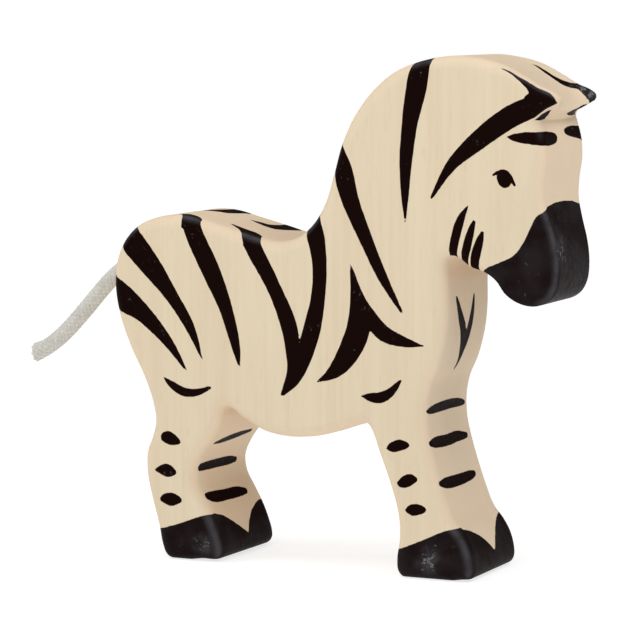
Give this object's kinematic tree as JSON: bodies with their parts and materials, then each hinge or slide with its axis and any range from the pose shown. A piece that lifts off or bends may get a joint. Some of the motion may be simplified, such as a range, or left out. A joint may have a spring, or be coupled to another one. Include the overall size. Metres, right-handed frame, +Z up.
{
  "type": "zebra figurine",
  "caption": "Standing toy zebra sawn from one board of pale wood, painted with black stripes, with a braided cord tail.",
  "frame": {"origin": "on the ground, under the middle of the body without its tail", "axes": "+X the way the animal looks, +Y its left, +Z up"},
  "size_m": [0.1745, 0.036, 0.148],
  "materials": {
    "painted_wood": "smooth bare pale wood with satin black paint",
    "cotton_cord": "braided white and grey cotton"
  },
  "bodies": {
    "root": {"body": "painted_wood", "tail": "cotton_cord"}
  },
  "joints": []
}
